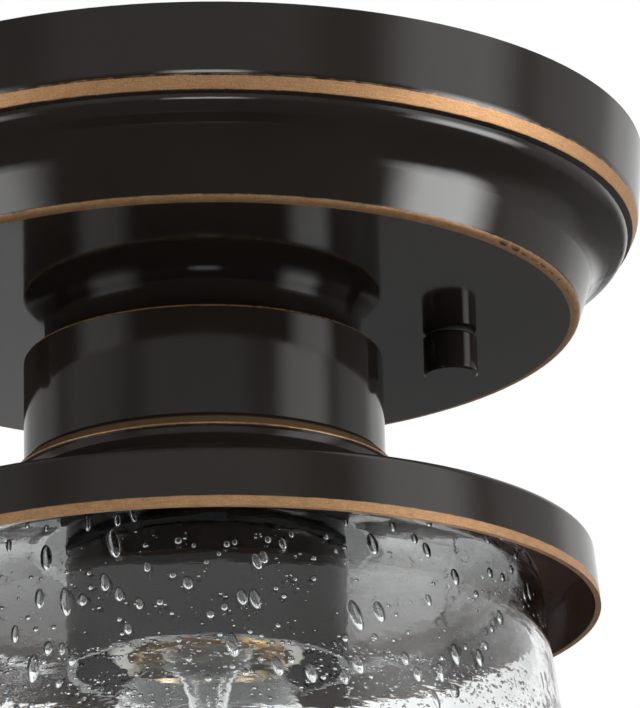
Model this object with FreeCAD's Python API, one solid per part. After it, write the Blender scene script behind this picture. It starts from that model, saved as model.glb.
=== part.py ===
"""Porch ceiling lantern: a stepped canopy, a short neck and a cap that carry a flared glass shade.

Millimetres, +Z up. The origin is on the ceiling plane and on the lantern's axis, so that every
piece hangs below it. Each piece is its own solid, written to parts/NAME.step.
"""

import FreeCAD
import Part
import math
import os

Vector = FreeCAD.Vector
AXIS = Vector(0, 0, 1)
ORIGIN = Vector(0, 0, 0)

# ---------------------------------------------------------------- driving dimensions
sheet = 1.0                      # spun steel of the canopy, the neck, the cap and the fitter tube
thread_play = 0.05               # radial play left between a thread and its nut or tapped hole
hole_play = 0.2                  # radial play of a plain hole round the fitter tube
hex_chamfer = 0.6                # height of a turned hex corner, as a share of its overhang
shortest_edge = 0.01             # straight left between two arcs that meet

# bar that is screwed to the ceiling box
bar_length = 102.0
bar_width = 19.0
bar_thickness = 1.5
bar_flange_depth = 3.0
bar_flange_length = 54.0
bar_centre_hole = 10.6
box_screw_spacing = 69.85
box_slot_length = 9.0
box_slot_width = 4.8

# studs that hang the canopy from the bar
stud_spacing = 88.9
stud_diameter = 4.1
stud_reach = 5.0                 # length of stud inside the cap nut
stud_hole = 5.2
lock_nut_flats = 8.7
lock_nut_height = 3.2
ground_screw_offset = 21.0
ground_screw_diameter = 4.6
ground_head_diameter = 8.4
ground_head_flats = 7.2
ground_head_height = 2.6
ground_flange_height = 0.65

# cap nuts and their sealing washers
seal_diameter = 8.6
seal_thickness = 0.5
cap_nut_diameter = 9.7
cap_nut_length = 7.1
cap_nut_bore_depth = 5.6
cap_nut_chamfer = 0.35

# canopy
canopy_diameter = 158.75
canopy_depth = 30.1
band_depth = 12.1                # straight band, ceiling to the bevel
band_taper = 1.1
band_rounding = 3.0
bevel_depth = 2.6
bevel_inset = 1.15
bevel_rounding = 0.6
step_drop = 0.3                  # step between the bevel and the bulge
step_inset = 0.9
bulge_height = 1.85
bulge_rounding = 2.8
cove_width = 5.9                 # inward run from the bulge to the cove
cove_height = 3.3
cove_rounding = 7.8
lip_taper = 3.4                  # inward run from the cove to the canopy's face
lip_rounding = 1.6
foam_width = 6.0
foam_thickness = 3.0
foam_play = 0.05                 # radial, to the canopy's wall

# nipple, the hollow threaded rod that carries the lower half
nipple_diameter = 10.0
nipple_bore = 7.0
nipple_above_canopy = 9.0        # length standing above the canopy's floor
nipple_end = 44.0                # lower end, below the ceiling
nipple_hole = 10.6
hex_nut_flats = 16.0
hex_nut_height = 4.0
lock_washer_diameter = 18.0
lock_washer_thickness = 0.9
lock_washer_gap = 1.6

# neck
neck_diameter = 63.8
neck_top_diameter = 56.4
neck_cove_start = 4.2            # below the canopy, where the cove's two tangents meet
neck_edge_depth = 6.2            # below the canopy, where the cove ends in the neck's edge
neck_cove_rounding = 5.6
neck_edge_rounding = 0.5
neck_end = 55.9                  # lower end, below the ceiling

# ring between the neck and the cap
base_ring_top_diameter = 64.8
base_ring_diameter = 69.2        # at its rubbed edge
base_ring_edge_depth = 2.5
base_ring_edge_rounding = 0.3
base_ring_waist_diameter = 68.2  # under the edge
base_ring_undercut = 0.5
base_ring_foot = 79.4
base_ring_height = 9.1
base_ring_bore = 60.0
base_ring_cove_height = 2.2      # above the cap's crown, where the cove's two tangents meet
base_ring_cove_rounding = 5.0
base_ring_toe = 0.7

# cap
cap_diameter = 137.5
cap_crown_diameter = 80.0
cap_edge_depth = 8.2             # crown to the top edge of the rim
cap_rim_depth = 18.5             # crown to the bottom of the rim
cap_rim_taper = 0.9
cap_edge_rounding = 1.2
cap_crown_rounding = 2.0

# fitter tube, ring nut, gaskets and collar that clamp the shade
fitter_diameter = 39.6
fitter_end = 86.0                # lower end, below the ceiling
ring_nut_diameter = 60.0
ring_nut_height = 2.2
gasket_thickness = 1.0
gasket_diameter = 58.0
lower_gasket_diameter = 48.6
collar_diameter = 49.2
collar_length = 20.2
collar_thread_length = 12.0
collar_wall = 1.4
collar_rounding = 0.6

# glass shade
glass_thickness = 3.0
glass_hole = 41.3
glass_seat_diameter = 62.0
glass_seat_rounding = 4.0
glass_shoulder_diameter = 116.4
glass_shoulder_drop = 6.1
glass_shoulder_rounding = 6.5
glass_waist_diameter = 120.6     # where the wall starts to flare more
glass_waist_drop = 27.0
glass_waist_rounding = 400.0
glass_mouth_diameter = 151.0
glass_height = 128.8
glass_rim_rounding = 1.4

# lamp socket
socket_diameter = 34.4
socket_neck_diameter = 30.0
socket_length = 45.6
socket_skirt_length = 28.0
socket_cavity_diameter = 28.2
socket_cavity_depth = 28.4
socket_rounding = 1.2
bracket_hub_diameter = 15.0
bracket_hub_height = 5.2
bracket_plate_length = 27.0
bracket_plate_width = 11.0
bracket_plate_thickness = 1.2
bracket_screw_spacing = 21.0
terminal_screw_spacing = 21.4
small_screw_diameter = 2.8
small_screw_head = 5.2
small_screw_head_height = 1.7
small_screw_length = 8.0
shell_diameter = 27.9
shell_wall = 0.5
shell_length = 20.5
shell_inset = 3.5                # from the socket's lip to the shell's mouth
contact_strip_width = 6.0
contact_strip_thickness = 0.5
contact_strip_length = 18.0
contact_dish_mouth = 9.0
contact_dish_floor = 3.6
contact_gap = 0.05

# lamp
lamp_length = 108.0
lamp_bulb_diameter = 60.0
lamp_neck_diameter = 32.6
lamp_seal_diameter = 25.2
lamp_taper_angle = 40.0          # of the bulb's shoulder, from the axis
lamp_wall = 0.8
lamp_contact_drop = 25.7         # from the socket's lip up to the lamp's end contact
lamp_base_diameter = 26.4
lamp_base_wall = 0.4
lamp_base_length = 23.2
lamp_base_shoulder = 2.6
lamp_base_shoulder_diameter = 21.0
lamp_base_rounding = 1.0
lamp_insulator_height = 2.6
lamp_contact_diameter = 9.6
lamp_contact_height = 1.2
lamp_contact_rounding = 0.8
lamp_neck_flare_drop = 4.5       # from the base down to the full neck
lamp_neck_rounding = 3.0
lamp_neck_blend = 35.0
stem_flare_diameter = 23.2
stem_diameter = 6.4
stem_length = 27.0
stem_flare_length = 9.0
stem_flare_seat = 3.0            # of the flare's rim above the base's lower edge
stem_rounding = 2.5
wire_diameter = 0.8
wire_play = 0.1                  # radial, where a wire enters the stem
wire_root_spread = 1.25          # from the axis, at the wires' upper ends
wire_foot_spread = 1.7           # from the axis, at their bend under the stem
wire_foot_drop = 2.6             # of that bend below the stem's end
filament_diameter = 0.9
filament_span = 20.0
filament_drop = 13.0             # from the stem's end to the filament

# ---------------------------------------------------------------- heights that follow
canopy_radius = canopy_diameter / 2
canopy_bottom = -canopy_depth
canopy_floor = canopy_bottom + sheet
bevel_radius = canopy_radius - band_taper - bevel_inset
bevel_bottom = -band_depth - bevel_depth
step_radius = bevel_radius - step_inset
bulge_bottom = bevel_bottom - step_drop - bulge_height
cove_radius = step_radius - cove_width
cove_corner = bulge_bottom - cove_height
face_radius = cove_radius - lip_taper
seal_bottom = canopy_bottom - seal_thickness
cap_nut_bottom = seal_bottom - cap_nut_length
stud_bottom = seal_bottom - stud_reach
stud_x = stud_spacing / 2
neck_radius = neck_diameter / 2
neck_plate_bottom = canopy_bottom - sheet
fitter_plate_bottom = neck_plate_bottom - sheet
cap_crown = -neck_end - base_ring_height
cap_radius = cap_diameter / 2
fitter_radius = fitter_diameter / 2
ring_nut_bottom = cap_crown - sheet - ring_nut_height
glass_top = ring_nut_bottom - gasket_thickness
glass_bottom = glass_top - glass_height
collar_top = glass_top - glass_thickness - gasket_thickness
collar_bottom = collar_top - collar_length
socket_top = -nipple_end - bracket_plate_thickness
socket_lip = socket_top - socket_length
cavity_top = socket_lip + socket_cavity_depth
lamp_top = socket_lip + lamp_contact_drop
insulator_top = lamp_top - lamp_contact_height
lamp_base_top = insulator_top - lamp_insulator_height
lamp_base_bottom = lamp_base_top - lamp_base_length
lamp_tip = lamp_top - lamp_length
stem_top = lamp_base_bottom + stem_flare_seat
stem_end = stem_top - stem_length
filament_z = stem_end - filament_drop


# ---------------------------------------------------------------- profile tools
def unit(dx, dz):
    length = math.hypot(dx, dz)
    return dx / length, dz / length


def rounded_edges(corners, closed):
    """Lines and tangent arcs through corners (r, z) or (r, z, rounding), in the XZ plane."""
    count = len(corners)
    starts, ends, arcs = [], [], []
    for i, corner in enumerate(corners):
        r, z = corner[:2]
        rounding = corner[2] if len(corner) > 2 else 0.0
        at_end = not closed and i in (0, count - 1)
        if not rounding or at_end:
            starts.append((r, z))
            ends.append((r, z))
            arcs.append(None)
            continue
        before, after = corners[i - 1], corners[(i + 1) % count]
        back = unit(before[0] - r, before[1] - z)
        ahead = unit(after[0] - r, after[1] - z)
        half = math.acos(max(-1.0, min(1.0, back[0] * ahead[0] + back[1] * ahead[1]))) / 2
        reach = rounding / math.tan(half)
        middle = unit(back[0] + ahead[0], back[1] + ahead[1])
        depth = rounding / math.sin(half) - rounding
        starts.append((r + back[0] * reach, z + back[1] * reach))
        ends.append((r + ahead[0] * reach, z + ahead[1] * reach))
        arcs.append((r + middle[0] * depth, z + middle[1] * depth))
    edges = []
    for i in range(count):
        if arcs[i]:
            points = [Vector(p[0], 0, p[1]) for p in (starts[i], arcs[i], ends[i])]
            edges.append(Part.Arc(*points).toShape())
        if i + 1 < count or closed:
            a = Vector(ends[i][0], 0, ends[i][1])
            b = Vector(starts[(i + 1) % count][0], 0, starts[(i + 1) % count][1])
            if a.distanceToPoint(b) > 1e-6:
                edges.append(Part.LineSegment(a, b).toShape())
    return edges


def lathe(corners):
    """Solid of revolution about the lantern's axis, from a closed outline of corners."""
    face = Part.Face(Part.Wire(rounded_edges(corners, True)))
    return face.revolve(ORIGIN, AXIS, 360)


def crossing(p, d, q, e):
    """Where the line through p along d meets the line through q along e."""
    across = d[0] * e[1] - d[1] * e[0]
    t = ((q[0] - p[0]) * e[1] - (q[1] - p[1]) * e[0]) / across
    return p[0] + d[0] * t, p[1] + d[1] * t


LEVEL = (1.0, 0.0)
UPRIGHT = (0.0, 1.0)


def offset_corners(corners, wall, first_cap, last_cap):
    """The corners moved wall to the right of the path, with roundings that stay concentric."""
    lines = []
    for a, b in zip(corners, corners[1:]):
        d = unit(b[0] - a[0], b[1] - a[1])
        lines.append(((a[0] + d[1] * wall, a[1] - d[0] * wall), d))
    moved = [crossing(*lines[0], corners[0][:2], first_cap)]
    for i in range(1, len(corners) - 1):
        (p, d), (q, e) = lines[i - 1], lines[i]
        turn_left = d[0] * e[1] - d[1] * e[0] > 0
        rounding = corners[i][2] if len(corners[i]) > 2 else 0.0
        if rounding:
            rounding = rounding + wall if turn_left else max(rounding - wall, 0.0)
        moved.append((*crossing(p, d, q, e), rounding))
    moved.append(crossing(*lines[-1], corners[-1][:2], last_cap))
    return moved


def spun_shell(corners, wall, first_cap=LEVEL, last_cap=UPRIGHT):
    """Sheet of the given wall, spun to an outer path whose material lies to the right of it."""
    return lathe(list(corners) + offset_corners(corners, wall, first_cap, last_cap)[::-1])


def flipped(corners):
    return [(r, -z, *more) for r, z, *more in corners]


def inner_path(path, wall, first_cap=LEVEL, last_cap=UPRIGHT):
    """The path moved wall inward, for a path whose material lies to the left of it."""
    return flipped(offset_corners(flipped(path), wall, first_cap, last_cap))


def hung_shell(path, wall, first_cap=LEVEL, last_cap=UPRIGHT):
    """Sheet of the given wall, spun to an outer path whose material lies to the left of it."""
    return lathe(path + inner_path(path, wall, first_cap, last_cap)[::-1])


def rod(diameter, low, high, x=0.0, y=0.0):
    return Part.makeCylinder(diameter / 2, high - low, Vector(x, y, low))


def ring(outer, inner, low, high, x=0.0, y=0.0):
    through = rod(inner, low - 1, high + 1, x, y)
    return rod(outer, low, high, x, y).cut(through)


def hex_prism(flats, low, high, x=0.0, y=0.0):
    """Hexagonal prism whose corners are turned down to a chamfer at both ends."""
    corner = flats / math.sqrt(3)
    points = [
        Vector(x + corner * math.cos(math.radians(60 * k)), y + corner * math.sin(math.radians(60 * k)), low)
        for k in range(7)
    ]
    prism = Part.Face(Part.makePolygon(points)).extrude(Vector(0, 0, high - low))
    chamfer = (corner - flats / 2) * hex_chamfer
    turned = lathe([
        (0, low), (flats / 2, low), (corner, low + chamfer), (corner, high - chamfer), (flats / 2, high), (0, high),
    ])
    turned.translate(Vector(x, y, 0))
    return prism.common(turned)


def wire_run(points, diameter):
    """Round wire along straight runs, with a ball at each bend."""
    body = None
    for a, b in zip(points, points[1:]):
        run = Part.makeCylinder(diameter / 2, a.distanceToPoint(b), a, b.sub(a))
        body = run if body is None else body.fuse(run)
    for joint in points[1:-1]:
        body = body.fuse(Part.makeSphere(diameter / 2, joint))
    return body.removeSplitter()


# ---------------------------------------------------------------- bar and studs
def mounting_bar():
    half = bar_length / 2 - bar_width / 2
    low = -bar_thickness
    strip = Part.makeBox(2 * half, bar_width, bar_thickness, Vector(-half, -bar_width / 2, low))
    for side in (-1, 1):
        strip = strip.fuse(rod(bar_width, low, 0, side * half))
        flange = Part.makeBox(
            bar_flange_length, bar_thickness, bar_flange_depth,
            Vector(-bar_flange_length / 2, side * (bar_width - bar_thickness) / 2 - bar_thickness / 2,
                   low - bar_flange_depth),
        )
        strip = strip.fuse(flange)
    strip = strip.removeSplitter()
    cuts = [rod(bar_centre_hole, low - 1, 1), rod(ground_screw_diameter + 2 * thread_play, low - 1, 1,
                                                 -ground_screw_offset)]
    slot_half = (box_slot_length - box_slot_width) / 2
    for side in (-1, 1):
        middle = side * box_screw_spacing / 2
        slot = Part.makeBox(2 * slot_half, box_slot_width, bar_thickness + 2,
                            Vector(middle - slot_half, -box_slot_width / 2, low - 1))
        for end in (-1, 1):
            slot = slot.fuse(rod(box_slot_width, low - 1, 1, middle + end * slot_half))
        cuts.append(slot.removeSplitter())
        cuts.append(rod(stud_diameter + 2 * thread_play, low - 1, 1, side * stud_x))
    for cut in cuts:
        strip = strip.cut(cut)
    return strip


def canopy_studs():
    return Part.makeCompound([rod(stud_diameter, stud_bottom, 0, side * stud_x) for side in (-1, 1)])


def stud_lock_nuts():
    high = -bar_thickness
    nuts = []
    for side in (-1, 1):
        nut = hex_prism(lock_nut_flats, high - lock_nut_height, high, side * stud_x)
        nuts.append(nut.cut(rod(stud_diameter + 2 * thread_play, high - lock_nut_height - 1, high + 1,
                                side * stud_x)))
    return Part.makeCompound(nuts)


def ground_screw():
    high = -bar_thickness
    head = hex_prism(ground_head_flats, high - ground_head_height, high, -ground_screw_offset)
    flange = rod(ground_head_diameter, high - ground_flange_height, high, -ground_screw_offset)
    shank = rod(ground_screw_diameter, high - ground_flange_height, 0, -ground_screw_offset)
    return head.fuse(flange).fuse(shank).removeSplitter()


# ---------------------------------------------------------------- canopy
def canopy_path():
    return [
        (canopy_radius, 0.0),
        (canopy_radius - band_taper, -band_depth, band_rounding),
        (bevel_radius, bevel_bottom, bevel_rounding),
        (step_radius, bevel_bottom - step_drop),
        (step_radius, bulge_bottom, bulge_rounding),
        (cove_radius, cove_corner, cove_rounding),
        (face_radius, canopy_bottom, lip_rounding),
        (nipple_hole / 2, canopy_bottom),
    ]


def canopy():
    shell = spun_shell(canopy_path(), sheet)
    for side in (-1, 1):
        shell = shell.cut(rod(stud_hole, canopy_bottom - 1, canopy_floor + 1, side * stud_x))
    return shell


def canopy_gasket():
    wall_lean = band_taper * foam_thickness / band_depth
    outer = 2 * (canopy_radius - sheet - wall_lean - foam_play)
    return ring(outer, outer - 2 * foam_width, -foam_thickness, 0)


def cap_nut(side):
    x = side * stud_x
    outline = [
        (0, cap_nut_bottom), (cap_nut_diameter / 2, cap_nut_bottom), (cap_nut_diameter / 2, seal_bottom),
        (0, seal_bottom),
    ]
    nut = lathe(outline)
    ends = [edge for edge in nut.Edges if len(edge.Vertexes) == 1]
    nut = nut.makeChamfer(cap_nut_chamfer, ends)
    bore = rod(stud_diameter + 2 * thread_play, seal_bottom - cap_nut_bore_depth, seal_bottom + 1)
    nut = nut.cut(bore)
    nut.translate(Vector(x, 0, 0))
    return nut


def seal_washer(side):
    return ring(seal_diameter, stud_hole, seal_bottom, canopy_bottom, side * stud_x)


# ---------------------------------------------------------------- nipple and nuts
def nipple():
    return ring(nipple_diameter, nipple_bore, -nipple_end, canopy_floor + nipple_above_canopy)


def nipple_nut(high):
    low = high - hex_nut_height
    return hex_prism(hex_nut_flats, low, high).cut(rod(nipple_diameter + 2 * thread_play, low - 1, high + 1))


def canopy_lock_washer():
    low = canopy_floor
    washer = ring(lock_washer_diameter, nipple_hole, low, low + lock_washer_thickness)
    gap = Part.makeBox(lock_washer_diameter, lock_washer_gap, lock_washer_thickness + 2,
                       Vector(0, -lock_washer_gap / 2, low - 1))
    return washer.cut(gap)


def canopy_nut():
    return nipple_nut(canopy_floor + lock_washer_thickness + hex_nut_height)


def fitter_nut():
    return nipple_nut(fitter_plate_bottom)


# ---------------------------------------------------------------- neck and its base ring
def neck():
    top = canopy_bottom
    path = [
        (neck_radius, -neck_end),
        (neck_radius, top - neck_edge_depth, neck_edge_rounding),
        (neck_top_diameter / 2, top - neck_cove_start, neck_cove_rounding),
        (neck_top_diameter / 2, top),
        (nipple_hole / 2, top),
    ]
    return hung_shell(path, sheet)


def neck_base_ring():
    top = -neck_end
    edge = top - base_ring_edge_depth
    waist, foot = base_ring_waist_diameter / 2, base_ring_foot / 2
    return lathe([
        (base_ring_bore / 2, top),
        (base_ring_top_diameter / 2, top),
        (base_ring_diameter / 2, edge, base_ring_edge_rounding),
        (waist, edge - base_ring_undercut),
        (waist, cap_crown + base_ring_cove_height, base_ring_cove_rounding),
        (foot, cap_crown + base_ring_toe),
        (foot, cap_crown),
        (base_ring_bore / 2, cap_crown),
    ])


# ---------------------------------------------------------------- cap, fitter and collar
def cap():
    path = [
        (cap_radius, cap_crown - cap_rim_depth),
        (cap_radius - cap_rim_taper, cap_crown - cap_edge_depth, cap_edge_rounding),
        (cap_crown_diameter / 2, cap_crown, cap_crown_rounding),
        (fitter_radius + hole_play, cap_crown),
    ]
    return hung_shell(path, sheet)


def fitter_tube():
    top = neck_plate_bottom
    tube = ring(fitter_diameter, fitter_diameter - 2 * sheet, -fitter_end, top)
    plate = ring(fitter_diameter, nipple_hole, top - sheet, top)
    return tube.fuse(plate).removeSplitter()


def cap_ring_nut():
    high = cap_crown - sheet
    return ring(ring_nut_diameter, fitter_diameter + 2 * thread_play, ring_nut_bottom, high)


def upper_gasket():
    return ring(gasket_diameter, glass_hole, glass_top, ring_nut_bottom)


def lower_gasket():
    high = glass_top - glass_thickness
    return ring(lower_gasket_diameter, glass_hole, high - gasket_thickness, high)


def shade_collar():
    outer, thread = collar_diameter / 2, fitter_radius + hole_play
    mouth = outer - collar_wall
    ledge = collar_top - collar_thread_length
    return lathe([
        (thread, collar_top),
        (outer, collar_top, collar_rounding),
        (outer, collar_bottom),
        (mouth, collar_bottom),
        (mouth, ledge),
        (thread, ledge),
    ])


# ---------------------------------------------------------------- glass shade
def glass_shade():
    path = [
        (glass_mouth_diameter / 2, glass_bottom),
        (glass_waist_diameter / 2, glass_top - glass_waist_drop, glass_waist_rounding),
        (glass_shoulder_diameter / 2, glass_top - glass_shoulder_drop, glass_shoulder_rounding),
        (glass_seat_diameter / 2, glass_top, glass_seat_rounding),
        (glass_hole / 2, glass_top),
    ]
    inside = inner_path(path, glass_thickness)
    rim = glass_rim_rounding
    return lathe([(*path[0], rim)] + path[1:] + inside[::-1][:-1] + [(*inside[0], rim)])


# ---------------------------------------------------------------- lamp socket
def socket_bracket():
    low = socket_top
    seat = low + bracket_plate_thickness
    high = seat + bracket_hub_height
    plate = Part.makeBox(bracket_plate_length, bracket_plate_width, bracket_plate_thickness,
                         Vector(-bracket_plate_length / 2, -bracket_plate_width / 2, low))
    bracket = plate.fuse(rod(bracket_hub_diameter, low, high)).removeSplitter()
    bracket = bracket.cut(rod(nipple_diameter + 2 * thread_play, seat, high + 1))
    bracket = bracket.cut(rod(nipple_bore, low - 1, high))
    for side in (-1, 1):
        hole = rod(small_screw_diameter + 2 * thread_play, low - 1, seat + 1, side * bracket_screw_spacing / 2)
        bracket = bracket.cut(hole)
    return bracket


def small_screw(seat, x, y):
    shank = rod(small_screw_diameter, seat - small_screw_length, seat, x, y)
    head = rod(small_screw_head, seat, seat + small_screw_head_height, x, y)
    return head.fuse(shank)


def socket_screws():
    seat = socket_top + bracket_plate_thickness
    return Part.makeCompound([small_screw(seat, side * bracket_screw_spacing / 2, 0) for side in (-1, 1)])


def terminal_screws():
    return Part.makeCompound([small_screw(socket_top, 0, side * terminal_screw_spacing / 2) for side in (-1, 1)])


def socket_body():
    skirt_top = socket_lip + socket_skirt_length
    neck_r, skirt_r, cavity_r = socket_neck_diameter / 2, socket_diameter / 2, socket_cavity_diameter / 2
    body = lathe([
        (0, socket_top),
        (neck_r, socket_top, socket_rounding),
        (neck_r, skirt_top, socket_rounding),
        (skirt_r, skirt_top, socket_rounding),
        (skirt_r, socket_lip, socket_rounding),
        (cavity_r, socket_lip),
        (cavity_r, cavity_top),
        (0, cavity_top),
    ])
    hole = small_screw_diameter + 2 * thread_play
    for side in (-1, 1):
        for x, y in ((side * bracket_screw_spacing / 2, 0), (0, side * terminal_screw_spacing / 2)):
            body = body.cut(rod(hole, socket_top - small_screw_length - 1, socket_top + 1, x, y))
    return body


def screw_shell():
    low = socket_lip + shell_inset
    return ring(shell_diameter, shell_diameter - 2 * shell_wall, low, low + shell_length)


def centre_contact():
    """Brass strip along the cavity's roof that is dished down to the lamp's end contact."""
    t, half = contact_strip_thickness, contact_strip_length / 2
    roof, touch = cavity_top, lamp_top + contact_gap
    mouth, floor = contact_dish_mouth / 2, contact_dish_floor / 2
    lower = [(-half, roof - t), (-mouth, roof - t), (-floor, touch), (floor, touch), (mouth, roof - t), (half, roof - t)]
    outline = lower + [(x, z + t) for x, z in lower[::-1]]
    points = [Vector(x, -contact_strip_width / 2, z) for x, z in outline + outline[:1]]
    return Part.Face(Part.makePolygon(points)).extrude(Vector(0, contact_strip_width, 0))


# ---------------------------------------------------------------- lamp
def lamp_contact():
    r = lamp_contact_diameter / 2
    return lathe([(0, insulator_top), (r, insulator_top), (r, lamp_top, lamp_contact_rounding), (0, lamp_top)])


def lamp_insulator():
    return lathe([
        (0, lamp_base_top),
        (lamp_base_shoulder_diameter / 2, lamp_base_top),
        (lamp_contact_diameter / 2, insulator_top),
        (0, insulator_top),
    ])


def lamp_base():
    outer = lamp_base_diameter / 2
    path = [
        (outer, lamp_base_bottom),
        (outer, lamp_base_top - lamp_base_shoulder, lamp_base_rounding),
        (lamp_base_shoulder_diameter / 2, lamp_base_top),
        (0.0, lamp_base_top),
    ]
    return hung_shell(path, lamp_base_wall)


def lamp_envelope():
    bulb_r, neck_r, seal_r = lamp_bulb_diameter / 2, lamp_neck_diameter / 2, lamp_seal_diameter / 2
    lean = math.radians(lamp_taper_angle)
    shoulder = lamp_tip + bulb_r + bulb_r * math.tan(lean / 2)
    neck_corner = shoulder + (bulb_r - neck_r) / math.tan(lean)
    flare = lamp_base_bottom - lamp_neck_flare_drop
    path = [
        (0.0, lamp_tip),
        (bulb_r, lamp_tip, bulb_r - shortest_edge),
        (bulb_r, shoulder, bulb_r - shortest_edge),
        (neck_r, neck_corner, lamp_neck_blend),
        (neck_r, flare, lamp_neck_rounding),
        (seal_r, lamp_base_bottom, lamp_neck_rounding),
        (seal_r, lamp_base_bottom + stem_flare_length),
    ]
    return hung_shell(path, lamp_wall, UPRIGHT, LEVEL)


def wire_paths():
    """The two lead wires to the filament's ends and the support to its middle."""
    reach = filament_span / 2
    paths = []
    for outward in (Vector(-1, 0, 0), Vector(1, 0, 0), Vector(0, 1, 0)):
        root = outward * wire_root_spread + Vector(0, 0, stem_end + wire_diameter)
        foot = outward * wire_foot_spread + Vector(0, 0, stem_end - wire_foot_drop)
        tip = outward * reach + Vector(0, 0, filament_z)
        paths.append([root, foot, tip])
    return paths


def lamp_stem():
    flare_r, stem_r = stem_flare_diameter / 2, stem_diameter / 2
    stem = lathe([
        (0, stem_top),
        (flare_r, stem_top),
        (flare_r, stem_top - lamp_wall),
        (stem_r, stem_top - stem_flare_length, stem_flare_length),
        (stem_r, stem_end, stem_rounding),
        (0, stem_end),
    ])
    for path in wire_paths():
        stem = stem.cut(wire_run(path, wire_diameter + 2 * wire_play))
    return stem


def lamp_wires():
    return Part.makeCompound([wire_run(path, wire_diameter) for path in wire_paths()])


def lamp_filament():
    """Half ring of coiled wire between the two lead wires, drawn as its envelope."""
    reach = filament_span / 2
    lift = wire_diameter / 2 + filament_diameter / 2
    section = Part.Wire(Part.makeCircle(filament_diameter / 2, Vector(reach, 0, filament_z - lift), Vector(0, 1, 0)))
    return Part.Face(section).revolve(ORIGIN, AXIS, 180)


PIECES = {
    "mounting_bar": mounting_bar,
    "canopy_studs": canopy_studs,
    "stud_lock_nuts": stud_lock_nuts,
    "ground_screw": ground_screw,
    "canopy": canopy,
    "canopy_gasket": canopy_gasket,
    "left_seal_washer": lambda: seal_washer(-1),
    "right_seal_washer": lambda: seal_washer(1),
    "left_cap_nut": lambda: cap_nut(-1),
    "right_cap_nut": lambda: cap_nut(1),
    "nipple": nipple,
    "canopy_lock_washer": canopy_lock_washer,
    "canopy_nut": canopy_nut,
    "neck": neck,
    "neck_base_ring": neck_base_ring,
    "cap": cap,
    "fitter_tube": fitter_tube,
    "fitter_nut": fitter_nut,
    "cap_ring_nut": cap_ring_nut,
    "upper_gasket": upper_gasket,
    "glass_shade": glass_shade,
    "lower_gasket": lower_gasket,
    "shade_collar": shade_collar,
    "socket_bracket": socket_bracket,
    "socket_screws": socket_screws,
    "terminal_screws": terminal_screws,
    "socket_body": socket_body,
    "screw_shell": screw_shell,
    "centre_contact": centre_contact,
    "lamp_contact": lamp_contact,
    "lamp_insulator": lamp_insulator,
    "lamp_base": lamp_base,
    "lamp_envelope": lamp_envelope,
    "lamp_stem": lamp_stem,
    "lamp_wires": lamp_wires,
    "lamp_filament": lamp_filament,
}


def main():
    os.makedirs("parts", exist_ok=True)
    for name, make in PIECES.items():
        shape = make()
        good = shape.isValid() and all(solid.isClosed() for solid in shape.Solids)
        print(f"{name:20s} {len(shape.Solids)} solid(s) {shape.Volume / 1000:9.3f} cm3 {'ok' if good else 'BAD'}")
        shape.exportStep(f"parts/{name}.step")


main()
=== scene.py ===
"""Porch ceiling lantern: finishes, seeded glass, lamp details, studio light and the photograph's camera.

Lengths are in mm and angles in degrees, unless a comment says otherwise. The axes are the part's own: z is
up, the ceiling is at 0, and the front is towards -y.
"""
import math
import random
from collections import namedtuple

import bmesh
import bpy
from mathutils import Matrix, Vector

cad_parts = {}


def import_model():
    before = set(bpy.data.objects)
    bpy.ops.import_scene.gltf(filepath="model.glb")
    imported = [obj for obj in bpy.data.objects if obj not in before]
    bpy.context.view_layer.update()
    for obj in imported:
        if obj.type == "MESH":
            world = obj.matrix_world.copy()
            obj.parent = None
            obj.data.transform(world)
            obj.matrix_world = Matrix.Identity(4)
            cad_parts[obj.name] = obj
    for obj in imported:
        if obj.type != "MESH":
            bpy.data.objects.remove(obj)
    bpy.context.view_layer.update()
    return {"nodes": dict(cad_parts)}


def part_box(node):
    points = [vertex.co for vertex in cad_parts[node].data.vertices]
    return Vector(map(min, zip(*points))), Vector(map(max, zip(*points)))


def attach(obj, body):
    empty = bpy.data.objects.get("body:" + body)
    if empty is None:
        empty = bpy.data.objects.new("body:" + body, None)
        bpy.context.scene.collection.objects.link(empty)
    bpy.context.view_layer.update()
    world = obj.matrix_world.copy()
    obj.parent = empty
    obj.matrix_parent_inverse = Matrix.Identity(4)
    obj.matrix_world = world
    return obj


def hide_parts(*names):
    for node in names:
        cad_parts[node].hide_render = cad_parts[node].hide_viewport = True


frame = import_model()
nodes = frame["nodes"]
MM = 0.001

# ---------------------------------------------------------------- edges that the finishes follow
# A path is a list of points (radius, height) on a turned piece, as in the part's source. Along an edge the
# copper shows to its half width, with a soft and wavy border, and as strongly as its last number says.
Edge = namedtuple("Edge", "path half_width softness waviness strength")
BEVEL = Edge([(78.05, -12.65), (77.20, -14.50)], 0.12, 0.1, 0.3, 1.0)
BEVEL_LINE = Edge([(78.22, -12.30), (78.18, -12.38)], 0.03, 0.07, 0.25, 0.55)
LIP = Edge([(67.15, -29.4), (66.4, -30.0), (65.5, -30.1)], 0.08, 0.14, 0.3, 1.0)
NECK_EDGE = Edge([(31.9, -36.3), (31.75, -36.0)], 0.16, 0.12, 0.25, 0.85)
RING_SLOPE = Edge([(33.4, -57.0), (34.4, -58.2)], 0.35, 0.4, 0.5, 0.22)
RING_EDGE = Edge([(34.5, -58.3), (34.55, -58.6)], 0.08, 0.1, 0.2, 0.75)
RING_TOE = Edge([(39.7, -64.4), (39.7, -65.0)], 0.1, 0.12, 0.2, 0.35)
CAP_EDGE = Edge([(67.75, -73.0), (67.9, -73.4)], 0.06, 0.09, 0.16, 0.6)
CAP_RIM = Edge([(68.6, -81.9), (68.75, -83.5), (67.75, -83.5)], 0.08, 0.12, 0.25, 1.0)
# The cap's underside, painted a lighter brown: partly its coat's own brown, partly painted fill light.
CAP_INSIDE = [(67.6, -83.2), (66.8, -74.5), (40.0, -66.2)]
LAMP_PITCH = 3.63                # of the thread on the lamp's base and in its shell

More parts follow.
